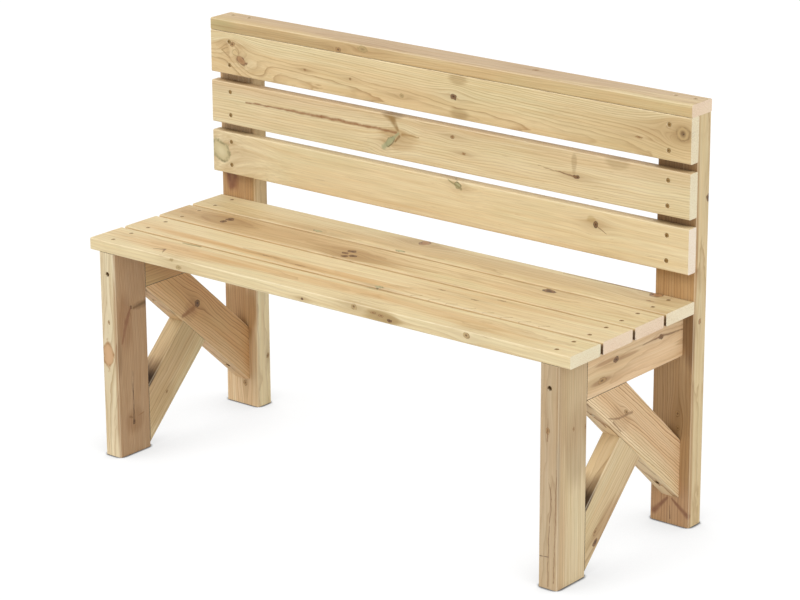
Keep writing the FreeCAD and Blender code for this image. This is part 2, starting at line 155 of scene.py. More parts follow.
BOARDS = {
    "seat_slat_1": Board(
        ALONG, BACK, sap="#E8D5AA", heart="#DCBB8A", ends=GREENISH, pith=(10, -48), heartwood=54, ring=4.5,
        taper=0.014, lines=0.38, wander=4,
        knots=(Knot((-356, SEAT_FRONT, -4), 4, SMEAR, 1.6, EDGEWISE),
            Knot((-34, SEAT_FRONT, -5), 2.5, DEAD, 1.2, EDGEWISE),
            Knot((95, SEAT_FRONT, 6), 6, EYE, 1.1, EDGEWISE),
            Knot((364, SEAT_FRONT, 4), 6, EYE, 1.2, EDGEWISE),
            Knot((142, SEAT_FRONT, 3), 2.5, BROWN, 2.4, EDGEWISE),
            Knot((162, SEAT_FRONT, 1), 3, BROWN, 2.0, EDGEWISE),
            Knot((182, SEAT_FRONT, -5), 3, DEAD, 1.8, EDGEWISE), Knot((64, 45, FACE), 3, GREEN, 3.0),
            Knot((-376, SEAT_FRONT, 8), 3, SMEAR, 1.6, EDGEWISE)),
        streaks=(Streak((-446, -24, FACE), (-424, -14, FACE), (2.0, 3.5), SPIKE),
            Streak((-424, -14, FACE), (-414, -32, FACE), (3.5, 1.5), SPIKE),
            Streak((-424, 40, FACE), (-380, 43, FACE), (3.0, 4.5), OLIVE)),
        patches=(Patch((-390, -5, FACE), (190, 26, 20), "#D8B07A", 0.6),
            Patch((-60, 12, FACE), (300, 20, 20), "#D9B27C", 0.55),
            Patch((380, -10, FACE), (160, 16, 20), "#DAB680", 0.45),
            Patch((162, SEAT_FRONT, -2), (40, 14, 14), "#A88A4C", 0.6), BACK_GAP_SHADE),
        grime=SEAT_SHADE_AND_GRIME),
    "seat_slat_2": Board(
        ALONG, BACK, sap="#E7D4AA", heart="#DBBB8A", ends=ROSY, pith=(-20, -46), heartwood=52, ring=4.0,
        taper=-0.016, lines=0.42, wander=5,
        knots=(Knot((178, 16, FACE), 2.2, BROWN, 4.0), Knot((265, 6, FACE), 2.2, BROWN, 4.0),
            Knot((70, -43, FACE), 4, GREEN, 2.5), Knot((-232, -24, FACE), 2, BROWN, 6.0),
            Knot((-142, -32, FACE), 2, BROWN, 6.0), Knot((310, 33, FACE), 2.2, BROWN, 5.0)),
        streaks=tuple(Streak((step, -50, FACE), (step + 22, -34, FACE), (1.0, 2.0), "#A88656")
            for step in range(146, 480, 43)),
        patches=(Patch((-150, -28, FACE), (260, 15, 20), "#D9B079", 0.6),
            Patch((-420, -20, FACE), (130, 12, 20), "#D2A66C", 0.55),
            Patch((330, 24, FACE), (200, 16, 20), "#D7B480", 0.45), GAP_EDGE_BOUNCE_TINT, FRONT_GAP_SHADE, BACK_GAP_SHADE, END_GAP_SHADE),
        grime=SEAT_SHADE_AND_GRIME),
    "seat_slat_3": Board(
        ALONG, BACK, sap="#E2CDA1", heart="#D2B183", ends=ROSY, pith=(6, -42), heartwood=48, ring=4.5,
        taper=0.01, lines=0.48, wander=4,
        knots=(Knot((-460, 17, FACE), 8, DEAD, 1.2), Knot((-462, -2, FACE), 7, DEAD, 1.1),
            Knot((-117, 0, FACE), 7, DEAD, 1.3), Knot((-122, -17, FACE), 5, DEAD, 1.4),
            Knot((-110, -34, FACE), 7, DEAD, 1.2), Knot((-97, -23, FACE), 7, DEAD, 1.2),
            Knot((344, 34, FACE), 9, DEAD, 1.6)),
        patches=(Patch((-350, 0, FACE), (400, 60, 30), "#C6A576", 0.75),
            Patch((-450, 5, FACE), (90, 34, 20), "#A07C4C", 0.3),
            Patch((-110, -16, FACE), (110, 32, 20), "#A68250", 0.3), GAP_EDGE_BOUNCE_TINT, FRONT_GAP_SHADE, BACK_GAP_SHADE,
            END_GAP_SHADE),
        grime=SEAT_SHADE_AND_GRIME),
    "seat_slat_4": Board(
        ALONG, BACK, sap="#E2CFA3", heart="#CDB182", ends=CREAM, pith=(-34, -44), heartwood=54, ring=4.5,
        taper=0.014, lines=0.5, wander=4,
        knots=(Knot((-37, 30, FACE), 13, RED, 0.9), Knot((-44, -42, FACE), 4, GREEN, 3.0),
            Knot((-263, -37, FACE), 5, GREEN, 2.2), Knot((520, 38, FACE), 13, RED, 1.1),
            Knot((531, -1, FACE), 3, BROWN, 3.0), Knot((-42, 27, FACE), 5, DEAD, 1.3),
            Knot((513, 36, FACE), 5, DEAD, 1.4)),
        streaks=(Streak((300, 40, FACE), (500, 43, FACE), (1.5, 4.0), SPIKE),),
        patches=(Patch((120, 0, FACE), (420, 34, 20), "#CBAF80", 0.6), GAP_EDGE_BOUNCE_TINT, FRONT_GAP_SHADE, END_GAP_SHADE),
        grime=SEAT_SHADE_AND_GRIME),
    "back_slat_bottom": Board(
        ALONG, UP, sap="#EAD7AE", heart="#E2C79E", ends="#F8E9D9", pith=(-120, -70), heartwood=110,
        ring=4.0, taper=0.006, lines=0.22, wander=4,
        knots=(Knot((-579, 2, FACE), 20, PALE, 1.0, (0.45, -0.5, 0.74)),
            Knot((52, 36, FACE), 6, GREEN, 1.2, (0.7, -0.25, 0.66)), Knot((387, 16, FACE), 7, DEAD, 0.8)),
        streaks=(Streak((22, 46, FACE), (60, 30, FACE), (1.0, 3.5), OLIVE),
            Streak((388, 14, FACE), (412, 2, FACE), (1.4, 0.8), SPIKE)),
        patches=(Patch((376, 26, FACE), (10, 7, 20), "#BFA262", 0.45),)),
    "back_slat_middle": Board(
        ALONG, UP, sap="#E7D4AB", heart="#DDC49B", ends=GREENISH, pith=(95, -40), heartwood=90, ring=4.5,
        taper=0.01, lines=0.7, wander=5,
        knots=(Knot((-120, -11, FACE), 7, GREEN, 1.0, (0.62, 0.62, 0.48)), Knot((38, 25, FACE), 3.5, BROWN),
            Knot((67, -5, FACE), 3, BROWN), Knot((341, -5, FACE), 4, DEAD, 1.8)),
        streaks=(Streak((-506, 10, FACE), (-300, 12, FACE), (2.0, 4.4), RESIN),
            Streak((-300, 12, FACE), (-104, 11, FACE), (4.4, 3.6), RESIN),
            Streak((-98, 10, FACE), (-136, -24, FACE), (3.0, 7.0), "#A3A47C"),
            Streak((-96, 4, FACE), (-107, -9, FACE), (3.6, 2.2), "#866636"),
            Streak((-124, 47, FACE), (-113, 36, FACE), (14, 9), "#9A7A48"),
            Streak((-113, 36, FACE), (-100, 16, FACE), (9, 4), "#9A7A48"),
            Streak((-88, 9, FACE), (-46, 10, FACE), (4.0, 1.2), "#A8844E"),
            Streak((248, 3, FACE), (339, -5, FACE), (0.8, 2.4), SPIKE)),
        patches=(Patch((-116, 46, FACE), (26, 7, 20), "#87693A", 0.6),
            Patch((-100, 0, FACE), (46, 22, 20), "#B8945E", 0.4),
            Patch((334, 20, FACE), (6, 20, 20), "#94744A", 0.35),
            Patch((434, 41, FACE), (24, 14, 20), "#A08556", 0.35))),
    "back_slat_top": Board(
        ALONG, UP, sap="#E8D5A9", heart="#E0C495", ends=GREENISH, pith=(-36, -42), heartwood=64, ring=3.4,
        taper=0.022, lines=0.95, wander=2.5,
        knots=(Knot((-533, 4, FACE), 6, RINGED, 1.1, (0.62, -0.4, 0.67)),
            Knot((-517, -10, FACE), 8, RED, 1.2, (0.7, -0.45, 0.55)), Knot((-541, 21, FACE), 5, BROWN),
            Knot((-343, -4, FACE), 2.5, BROWN), Knot((-223, -5, FACE), 2.5, BROWN),
            Knot((-89, -19, FACE), 4, SMEAR), Knot((41, 0, FACE), 6, DEAD, 1.2),
            Knot((581, 13, FACE), 14, EYE, 1.1), Knot((582, 12, FACE), 8, DEAD, 1.1),
            Knot((483, -10, FACE), 2, BROWN, 4.0)),
        streaks=(Streak((-570, 6, FACE), (-549, -8, FACE), (1.6, 2.0), "#A88656"),
            Streak((-570, 6, FACE), (-553, 13, FACE), (1.6, 1.2), "#A88656")),
        patches=(Patch((52, 36, FACE), (24, 12, 20), "#A88A58", 0.5),
            Patch((56, -33, FACE), (26, 11, 20), "#A08250", 0.5),
            Patch((580, 12, FACE), (24, 20, 20), "#A88A58", 0.45),
            Patch((440, 0, FACE), (170, 60, 20), "#D4BC8E", 0.45))),
    "cap_rail": Board(
        ALONG, BACK, sap="#E3CE9F", heart="#D6B988", ends=ROSY, pith=(-40, -50), heartwood=62, ring=4.5,
        taper=-0.014, lines=0.5, wander=4,
        knots=(Knot((-254, CAP_FRONT, -6), 5, BROWN, 1.6, EDGEWISE),
            Knot((-190, CAP_FRONT, 4), 6, SMEAR, 2.2, EDGEWISE), Knot((210, 10, FACE), 5, BROWN, 1.6)),
        patches=(Patch((0, 12, FACE), (760, 44, 8), "#C0A283", 0.75),
            Patch((-570, CAP_FRONT, 0), (50, 10, 14), "#B9AC78", 0.6),
            Patch((-430, CAP_FRONT, -2), (200, 10, 12), "#B4986A", 0.55))),
    "front_leg_left": Board(
        UP, -BACK, sap="#EAD9B6", heart="#D8B98E", ends=CREAM, pith=(62, 12), heartwood=4, ring=4.2,
        taper=0.03, lines=0.8, wander=2,
        knots=(Knot((2, NARROW, -5), 14, PINK, 2.1, EDGEWISE), Knot((97, 2, WIDE), 3, DEAD),
            Knot((-152, 3, WIDE), 3.5, DEAD), Knot((72, NARROW, 0), 2.5, BROWN, 2.0, EDGEWISE)),
        streaks=(Streak((97, 3, WIDE), (70, 16, WIDE), (2.5, 7.0), "#86583A"),
            Streak((70, 16, WIDE), (26, 30, WIDE), (7.0, 2.5), "#8C6040"),
            Streak((94, -6, WIDE), (99, -45, WIDE), (3.0, 5.0), "#74542F"),
            Streak((-40, 2, WIDE), (-150, 3, WIDE), (0.8, 2.2), CHECK),
            Streak((-138, 15, WIDE), (-143, 2, WIDE), (3.4, 1.6), SPIKE),
            Streak((-142, -10, WIDE), (-139, -26, WIDE), (1.2, 2.0), "#946C44")),
        patches=(Patch((0, 0, WIDE), (420, 90, 9), "#B3906C", 0.9),
            Patch((96, -26, WIDE), (8, 26, 9), "#7E5C36", 0.5),
            Patch((70, 18, WIDE), (60, 20, 9), "#976A45", 0.45),
            Patch((0, 39, WIDE), (50, 7, 9), "#86623E", 0.5),
            Patch((-150, 0, WIDE), (28, 26, 9), "#946C44", 0.5))),
    "front_leg_right": Board(
        UP, -BACK, sap="#DCC8A2", heart="#CCAF88", ends=CREAM, pith=(90, 10), heartwood=70, ring=6.0,
        taper=0.02, lines=0.6, wander=6,
        knots=(Knot((92, NARROW, -3), 4, BROWN, 1.7, EDGEWISE), Knot((87, -3, WIDE), 3, BROWN, 1.3),
            Knot((81, -40, WIDE), 3, BROWN, 1.5)),
        streaks=(Streak((116, NARROW, -3), (72, NARROW, -3), (0.8, 1.6), SPIKE),
            Streak((20, NARROW, 18), (-205, NARROW, 14), (1.0, 1.6), SPIKE),
            Streak((-2, NARROW, 0), (-40, NARROW, 7), (0.8, 1.6), SPIKE),
            Streak((-40, NARROW, 7), (-120, NARROW, 1), (1.6, 1.3), SPIKE),
            Streak((-120, NARROW, 1), (-215, NARROW, 1), (1.3, 1.6), SPIKE),
            Streak((-158, NARROW, -18), (-156, NARROW, 2), (1.2, 1.0), CHECK)),
        patches=(Patch((85, 44, 20), (170, 3.6, 3.6), BARK, 0.8),
            Patch((0, NARROW, 0), (320, 9, 60), "#BEA789", 0.65),
            Patch((50, -17, WIDE), (80, 40, 9), "#A58B68", 0.5),
            Patch((150, 0, WIDE), (110, 60, 9), "#BC9F79", 0.6))),
    "rear_post_left": Board(
        UP, ALONG, sap="#F6E6BE", heart="#E2C496", ends=CREAM, pith=(-90, -24), heartwood=62, ring=6.5,
        taper=0.012, lines=0.75, wander=5,
        knots=(Knot((-366, 8, -WIDE), 5, BROWN, 1.3), Knot((-305, NARROW, 12), 4, BROWN, 1.4, EDGEWISE)),
        streaks=(Streak((106, -28, -WIDE), (72, -20, -WIDE), (5, 9), SCAR),
            Streak((104, -7, -WIDE), (76, -13, -WIDE), (4, 7), SCAR)),
        patches=(Patch((0, 0, -WIDE), (620, 80, 9), "#DEBE96", 0.85),
            Patch((-200, 0, -WIDE), (60, 80, 9), "#B48C5C", 0.85),
            # painted shadow of the seat on the front face, about the seat's height
            Patch((80, 0, -WIDE), (54, 70, 9), "#B08450", 0.75),
            Patch((88, -14, -WIDE), (26, 18, 9), "#8E4E30", 0.5),
            Patch((200, NARROW, 0), (240, 9, 60), "#BE9F70", 0.7))),
    "rear_post_right": Board(
        UP, ALONG, sap="#DCC69B", heart="#C8A87C", ends=CREAM, pith=(-96, -20), heartwood=62, ring=6.5,
        taper=0.014, lines=1.0, wander=5,
        knots=(Knot((-183, 14, -WIDE), 5, BROWN, 1.2), Knot((-213, 15, -WIDE), 4, BROWN),
            Knot((248, NARROW, 17), 6, DEAD, 1.3, EDGEWISE), Knot((5, NARROW, -1), 4, RED, 1.4, EDGEWISE)),
        streaks=(Streak((-362, -6, -WIDE), (-396, -36, -WIDE), (3, 8), SCAR),
            Streak((-362, 6, -WIDE), (-390, 42, -WIDE), (3, 7), SCAR),
            Streak((-376, 0, -WIDE), (-404, 1, -WIDE), (0.8, 1.6), CHECK)),
        patches=(Patch((-60, 0, -WIDE), (660, 80, 9), "#B08A5E", 0.85),
            Patch((85, 0, -WIDE), (50, 80, 9), "#C69E6C", 0.7),
            # painted shade on the front face under the seat, near the bearer
            Patch((-20, 34, -WIDE), (60, 16, 9), "#6E4C2A", 0.6),
            Patch((-375, 0, -WIDE), (50, 60, 9), "#C49A74", 0.6))),
    "seat_bearer_left": Board(
        BACK, UP, sap="#BD8F5D", heart="#AE7F4B", ends=CREAM, pith=(60, 60), heartwood=80, ring=6.0,
        taper=0.014, lines=0.75, wander=4,
        knots=(Knot((60, -10, WIDE), 4, BROWN, 1.6),)),
    "seat_bearer_right": Board(
        BACK, UP, sap="#ECD5B0", heart="#E6C69E", ends=CREAM, pith=(-14, 60), heartwood=62, ring=6.0,
        taper=-0.02, lines=0.55, wander=5,
        knots=(Knot((-66, 10, WIDE), 6, DEAD, 1.3), Knot((-111, -19, WIDE), 6, BROWN, 2.2),
            Knot((82, 15, WIDE), 5, DEAD, 1.6)),
        streaks=(Streak((20, 15, WIDE), (80, 16, WIDE), (1.0, 3.0), SPIKE),
            Streak((84, 16, WIDE), (156, 10, WIDE), (3.0, 1.4), SPIKE)),
        patches=(Patch((-100, 14, WIDE), (30, 3.5, 9), "#A2744A", 0.55),
            Patch((-30, 8, WIDE), (34, 3, 9), "#A2744A", 0.55),
            Patch((-112, -20, WIDE), (30, 5, 9), "#96683E", 0.6))),
    "long_brace_left": Board(
        long_grain, long_width, sap="#E2BE90", heart="#D4A976", ends=CREAM, pith=(150, 40), heartwood=130,
        ring=6.0, taper=0.03, lines=1.3, wander=4,
        knots=(Knot((-50, 50, WIDE), 7, DEAD, 1.2), Knot((-96, -40, WIDE), 5, BROWN, 1.4)),
        streaks=(Streak((-72, 6, WIDE), (-54, 34, WIDE), (5, 8), "#94643A"),),
        patches=(Patch((-58, 30, WIDE), (20, 24, 9), "#9A6E40", 0.3),
            Patch((-104, -12, WIDE), (22, 12, 9), "#5A3E24", 0.8))),
    "long_brace_right": Board(
        long_grain, long_width, sap="#ECD2AA", heart="#E0BF95", ends=CREAM, pith=(150, 40), heartwood=130,
        ring=5.0, taper=0.05, lines=1.8, wander=4,
        knots=(Knot((-80, 44, WIDE), 4, BROWN, 2.0),),
        streaks=(Streak((-125, 8, WIDE), (-94, 23, WIDE), (1.4, 3.0), "#94704A"),
            Streak((-94, 23, WIDE), (-62, 53, WIDE), (3.0, 3.6), "#94704A"),
            Streak((-106, 10, WIDE), (-69, 6, WIDE), (2.6, 1.2), "#94704A")),
        patches=(Patch((-88, 24, WIDE), (40, 30, 9), "#A27C50", 0.25),)),
    "short_brace_left": Board(
        short_grain, short_width, sap="#DEC9A0", heart="#CCAF86", ends=CREAM, pith=(90, 60), heartwood=80,
        ring=6.5, taper=0.012, lines=0.8, wander=4,
        knots=(Knot((-40, 10, WIDE), 3, BROWN),),
        patches=(Patch((-70, 0, WIDE), (50, 50, 9), "#C8AC80", 0.6), *BRACE_NOOK_SHADOW)),
    "short_brace_right": Board(
        short_grain, short_width, sap="#D8C097", heart="#C8AA82", ends=CREAM, pith=(-80, 44), heartwood=70,
        ring=6.5, taper=0.018, lines=0.75, wander=5,
        knots=(Knot((-88, -9, WIDE), 5, DEAD, 1.8), Knot((-74, 6, WIDE), 4, BROWN, 2.2)),
        patches=(Patch((-40, -10, WIDE), (50, 20, 9), "#B59068", 0.5), *BRACE_NOOK_SHADOW)),
}

# growth rings wander slowly along and across the board, and their spacing varies from ring to ring
WANDER_LENGTH, WANDER_WIDTH = 360, 80
WAVE_LENGTH, WAVE_WIDTH = 55, 14
HEART_EDGE = 14
# soft marks are numbers mostly between these two, and this many times them spans about two
LEAST_MARK, MOST_MARK = 0.25, 0.75
MARK_SPREAD = 4
SPACING_RUN = 26
SPACING_CHANGE = 1.6
# share of a ring's width, and how much latewood shows there: it darkens slowly and ends sharply
LATEWOOD_SHARES = ((0.0, 0.0), (0.55, 0.06), (0.80, 0.50), (0.93, 1.0), (1.0, 0.0))
# real fibres are finer than a tenth of a millimetre, so bundles of them are drawn, wide enough to show
BUNDLE_LENGTH, BUNDLE_WIDTH = 260, 8
FIBRE_LENGTH, FIBRE_WIDTH = 90, 2.2
TINT_LENGTH, TINT_WIDTH = 380, 48
STAIN_LENGTH, STAIN_WIDTH = 240, 90
CANAL_LENGTH, CANAL_WIDTH = 36, 1.9
JAG_LENGTH, JAG_REACH = 18, 5
PATCHY_SIZE = 9
SAW_MARK = 2.4
# how squarely a face looks along the grain to count as a sawn end
END_TURN = 0.55
# a distance in radii beyond every knot
NO_KNOT = 100
# a branch is about four times as long as it is wide before it fades
BRANCH_RUN = 0.75
# one over the radii within which the grain parts round a knot, and in which it is darker, along and across
PARTING, DARKENING = (0.18, 0.32, 0.32), (0.14, 0.50, 0.50)
# how much of its distance from the knot's middle the grain gives way by
GIVING_WAY = 0.88
GRAIN_RELIEF = 0.4 * MM
# every kind of soft mark has a noise of its own
BUNDLE_SEED, FIBRE_SEED, TINT_SEED, STAIN_SEED = range(10, 50, 10)
PATCHY_SEED, WAVE_SEED, CANAL_SEED, SAW_SEED = range(50, 90, 10)
# dense wood is darker and warmer, open wood paler: shares of red, green and blue
BUNDLE_SHADES = (0.95, 0.89, 0.80), (1.03, 1.07, 1.12)
FIBRE_SHADES = (0.88, 0.86, 0.81), (1.08, 1.09, 1.11)
# painted shade, and in the narrow joints also dirt: how far off other wood darkens a joint or a nook,
# between which shares of open air, and how dark it gets
PAINTED_SHADE_AND_DIRT = ((8 * MM, 0.18, 0.46, (0.20, 0.15, 0.11)), (90 * MM, 0.14, 0.46, (0.36, 0.28, 0.20)))


def node_group(name, inputs, outputs):
    """An empty group with its sockets, and what it is given."""
    tree = bpy.data.node_groups.new(name, "ShaderNodeTree")
    for in_out, sockets in (("INPUT", inputs), ("OUTPUT", outputs)):
        for kind, labels in sockets.items():
            for label in labels:
                tree.interface.new_socket(name=label, in_out=in_out, socket_type=f"NodeSocket{kind}")
    return tree, add(tree, "NodeGroupInput").outputs


def knot_group():
    """Leads the grain round one knot, and keeps the nearest knot's distance in radii and its tones."""
    tree, given = node_group(
        "knot",
        {"Vector": ("Grain", "Place", "Middle", "Axis", "Squeeze"), "Float": ("Nearest", "Shade", "Radius"),
         "Color": ("Wood", "Bark", "Core", "Own wood", "Own bark", "Own core")},
        {"Vector": ("Grain",), "Float": ("Nearest", "Shade"), "Color": ("Wood", "Bark", "Core")})
    away = add(tree, "ShaderNodeVectorMath", {0: given["Place"], 1: given["Middle"]}, operation="SUBTRACT")
    run = add(tree, "ShaderNodeVectorMath", {0: away, 1: given["Axis"]}, operation="DOT_PRODUCT")
    length = add(tree, "ShaderNodeMath", {0: run, 1: BRANCH_RUN}, operation="MULTIPLY")
    on_axis = add(tree, "ShaderNodeVectorMath", {0: given["Axis"], "Scale": length}, operation="SCALE")
    aside = add(tree, "ShaderNodeVectorMath", {0: away, 1: on_axis}, operation="SUBTRACT")
    oval = add(tree, "ShaderNodeVectorMath", {0: aside, 1: given["Squeeze"]}, operation="MULTIPLY")
    in_radii = add(tree, "ShaderNodeVectorMath", {0: oval, 1: given["Radius"]}, operation="DIVIDE")
    distance = add(tree, "ShaderNodeVectorMath", {0: in_radii}, operation="LENGTH")
    # no knot is quite round
    spot = add(tree, "ShaderNodeVectorMath", {0: given["Place"], 1: given["Radius"]}, operation="DIVIDE")
    ragged = add(tree, "ShaderNodeTexNoise", {"Vector": spot, "Scale": 0.7, "Detail": 3.0})
    wobble = add(tree, "ShaderNodeMapRange", {
        "Value": ragged, "From Min": LEAST_MARK, "From Max": MOST_MARK, "To Min": 0.7, "To Max": 1.35})
    radii = add(tree, "ShaderNodeMath", {0: distance, 1: wobble}, operation="MULTIPLY")
    # the grain parts before the knot and closes after it, and is darker in a longer tail
    falls = []
    for reach in (PARTING, DARKENING):
        lens = add(tree, "ShaderNodeVectorMath", {0: in_radii, 1: reach}, operation="MULTIPLY")
        square = add(tree, "ShaderNodeVectorMath", {0: lens, 1: lens}, operation="DOT_PRODUCT")
        minus = add(tree, "ShaderNodeMath", {0: square, 1: -1.0}, operation="MULTIPLY")
        falls.append(add(tree, "ShaderNodeMath", {0: minus}, operation="EXPONENT"))
    sideways = add(tree, "ShaderNodeVectorMath", {
        0: aside, 1: (0, GIVING_WAY, GIVING_WAY)}, operation="MULTIPLY")
    shift = add(tree, "ShaderNodeVectorMath", {0: sideways, "Scale": falls[0]}, operation="SCALE")
    led = add(tree, "ShaderNodeVectorMath", {0: given["Grain"], 1: shift}, operation="SUBTRACT")
    nearer = add(tree, "ShaderNodeMath", {0: radii, 1: given["Nearest"]}, operation="LESS_THAN")
    nearest = add(tree, "ShaderNodeMath", {0: radii, 1: given["Nearest"]}, operation="MINIMUM")
    shade = add(tree, "ShaderNodeMath", {0: falls[1], 1: given["Shade"]}, operation="MAXIMUM")
    results = {"Grain": led, "Nearest": nearest, "Shade": shade}
    for part in ("Wood", "Bark", "Core"):
        results[part] = add(tree, "ShaderNodeMix", {
            "Factor": nearer, "A": given[part], "B": given[f"Own {part.lower()}"]}, data_type="RGBA")
    add(tree, "NodeGroupOutput", results)
    return tree


def streak_group():
    """How much of a streak lies at a place: it runs straight and changes its width on the way."""
    tree, given = node_group(
        "streak", {"Vector": ("Place", "Start", "Way"), "Float": ("First width", "Last width")},
        {"Float": ("Mark",)})
    away = add(tree, "ShaderNodeVectorMath", {0: given["Place"], 1: given["Start"]}, operation="SUBTRACT")
    ahead = add(tree, "ShaderNodeVectorMath", {0: away, 1: given["Way"]}, operation="DOT_PRODUCT")
    length = add(tree, "ShaderNodeVectorMath", {0: given["Way"], 1: given["Way"]}, operation="DOT_PRODUCT")
    share = add(tree, "ShaderNodeMath", {0: ahead, 1: length}, operation="DIVIDE", use_clamp=True)
    passed = add(tree, "ShaderNodeVectorMath", {0: given["Way"], "Scale": share}, operation="SCALE")
    off = add(tree, "ShaderNodeVectorMath", {0: away, 1: passed}, operation="DISTANCE")
    width = add(tree, "ShaderNodeMapRange", {
        "Value": share, "To Min": given["First width"], "To Max": given["Last width"]})
    widths = add(tree, "ShaderNodeMath", {0: off, 1: width}, operation="DIVIDE")
    mark = add(tree, "ShaderNodeMapRange", {
        "Value": widths, "From Min": 0.2, "From Max": 1.3, "To Min": 0.9, "To Max": 0.0},
        interpolation_type=SMOOTH)
    add(tree, "NodeGroupOutput", {"Mark": mark})
    return tree


def patch_group():
    """How much of a patch lies at a place: it fades from its middle to its reach."""
    tree, given = node_group(
        "patch", {"Vector": ("Place", "Middle", "Reach"), "Float": ("Drift", "Strength")},
        {"Float": ("Mark",)})
    away = add(tree, "ShaderNodeVectorMath", {0: given["Place"], 1: given["Middle"]}, operation="SUBTRACT")
    shares = add(tree, "ShaderNodeVectorMath", {0: away, 1: given["Reach"]}, operation="DIVIDE")
    distance = add(tree, "ShaderNodeVectorMath", {0: shares}, operation="LENGTH")
    drifted = add(tree, "ShaderNodeMath", {0: given["Drift"], 1: distance}, operation="ADD")
    mark = add(tree, "ShaderNodeMapRange", {
        "Value": drifted, "From Min": 1.6, "From Max": 2.3, "To Min": given["Strength"], "To Max": 0.0},
        interpolation_type=SMOOTH)
    add(tree, "NodeGroupOutput", {"Mark": mark})
    return tree


KNOT_GROUP = knot_group()
STREAK_GROUP = streak_group()
PATCH_GROUP = patch_group()


def fibres(tree, point, length, width, seed):
    """Soft marks of a length along the grain and a width across it, as a number about a half."""
    drawn_out = add(tree, "ShaderNodeVectorMath", {
        0: point, 1: (1 / length, 1 / width, 1 / width)}, operation="MULTIPLY")
    return add(tree, "ShaderNodeTexNoise", {
        "Vector": drawn_out, "W": seed, "Scale": 1.0, "Detail": 2.0, "Roughness": 0.55},
        noise_dimensions="4D")


def varied(tree, colour, marks, least, most, shades):
    """The colour made darker and lighter by soft marks."""
    shade = add(tree, "ShaderNodeMapRange", {
        "Vector": marks, "From Min": (least,) * 3, "From Max": (most,) * 3, "To Min": shades[0],
        "To Max": shades[1]}, data_type="FLOAT_VECTOR")
    return add(tree, "ShaderNodeMix", {
        "Factor": 1.0, "A": colour, "B": shade}, data_type="RGBA", blend_type="MULTIPLY")


def latewood(tree, board, radius, grain, seed):
    """How much latewood lies at a place, from its distance to the pith."""
    wander = fibres(tree, grain, WANDER_LENGTH, WANDER_WIDTH, seed)
    wave = fibres(tree, grain, WAVE_LENGTH, WAVE_WIDTH, seed + WAVE_SEED)
    run = add(tree, "ShaderNodeSeparateXYZ", {0: grain})
    tapered = add(tree, "ShaderNodeMath", {0: run, 1: board.taper, 2: radius}, operation="MULTIPLY_ADD")
    wandered = add(tree, "ShaderNodeMath", {
        0: wander, 1: MARK_SPREAD * board.wander, 2: tapered}, operation="MULTIPLY_ADD")
    waved = add(tree, "ShaderNodeMath", {0: wave, 1: board.ring, 2: wandered}, operation="MULTIPLY_ADD")
    years = add(tree, "ShaderNodeMath", {0: waved, 1: SPACING_RUN}, operation="DIVIDE")
    seasons = add(tree, "ShaderNodeTexNoise", {
        "W": years, "Scale": 1.0, "Detail": 1.0}, noise_dimensions="1D")
    spaced = add(tree, "ShaderNodeMath", {0: waved, 1: board.ring}, operation="DIVIDE")
    count = add(tree, "ShaderNodeMath", {
        0: seasons, 1: SPACING_CHANGE, 2: spaced}, operation="MULTIPLY_ADD")
    phase = add(tree, "ShaderNodeMath", {0: count}, operation="FRACT")
    profile = add(tree, "ShaderNodeValToRGB", {0: phase})
    stops = profile.color_ramp.elements
    while len(stops) < len(LATEWOOD_SHARES):
        stops.new(0.5)
    for stop, (share, strength) in zip(stops, LATEWOOD_SHARES):
        stop.position = share
        stop.color = (strength, strength, strength, 1)
    ring = add(tree, "ShaderNodeMath", {0: count}, operation="FLOOR")
    season = add(tree, "ShaderNodeTexWhiteNoise", {"W": ring}, noise_dimensions="1D")
    strong = add(tree, "ShaderNodeMapRange", {"Value": season, "To Min": 0.35})
    return add(tree, "ShaderNodeMath", {0: profile, 1: strong}, operation="MULTIPLY")


def knotted(tree, board, place):
    """The grain led round the board's knots, then the nearest knot's distance, shade and three tones."""
    passed = (place, NO_KNOT, 0.0, *(linear(tone) for tone in BROWN))
    for knot in board.knots:
        given = dict(zip(("Grain", "Nearest", "Shade", "Wood", "Bark", "Core"), passed))
        passed = add(tree, "ShaderNodeGroup", node_tree=KNOT_GROUP, inputs={
            **given, "Place": place, "Middle": knot.middle, "Axis": Vector(knot.axis).normalized(),
            "Squeeze": (1 / knot.stretch, 1, 1), "Radius": knot.radius, "Own wood": linear(knot.kind[0]),
            "Own bark": linear(knot.kind[1]), "Own core": linear(knot.kind[2])}).outputs
    return passed


def marked(tree, board, colour, place, patchy):
    """The colour with the board's checks, resin and branches cut lengthwise, which have ragged edges."""
    spot = add(tree, "ShaderNodeVectorMath", {0: place, "Scale": 1 / JAG_LENGTH}, operation="SCALE")
    ragged = add(tree, "ShaderNodeTexNoise", {"Vector": spot, "Scale": 1.0, "Detail": 3.0})
    thrown = add(tree, "ShaderNodeVectorMath", {
        0: ragged.outputs["Color"], 1: (0.5, 0.5, 0.5)}, operation="SUBTRACT")
    aside = add(tree, "ShaderNodeVectorMath", {
        0: thrown, 1: (0, JAG_REACH, JAG_REACH)}, operation="MULTIPLY")
    jagged = add(tree, "ShaderNodeVectorMath", {0: place, 1: aside}, operation="ADD")
    faded = add(tree, "ShaderNodeMapRange", {
        "Value": patchy, "From Min": 0.3, "From Max": 0.6, "To Min": 0.75})
    for streak in board.streaks:
        drawn = add(tree, "ShaderNodeGroup", node_tree=STREAK_GROUP, inputs={
            "Place": jagged, "Start": streak.start, "Way": Vector(streak.end) - Vector(streak.start),
            "First width": streak.widths[0], "Last width": streak.widths[1]})
        worn = add(tree, "ShaderNodeMath", {0: drawn, 1: faded}, operation="MULTIPLY")
        colour = add(tree, "ShaderNodeMix", {
            "Factor": worn, "A": colour, "B": linear(streak.tone)}, data_type="RGBA")
    return colour


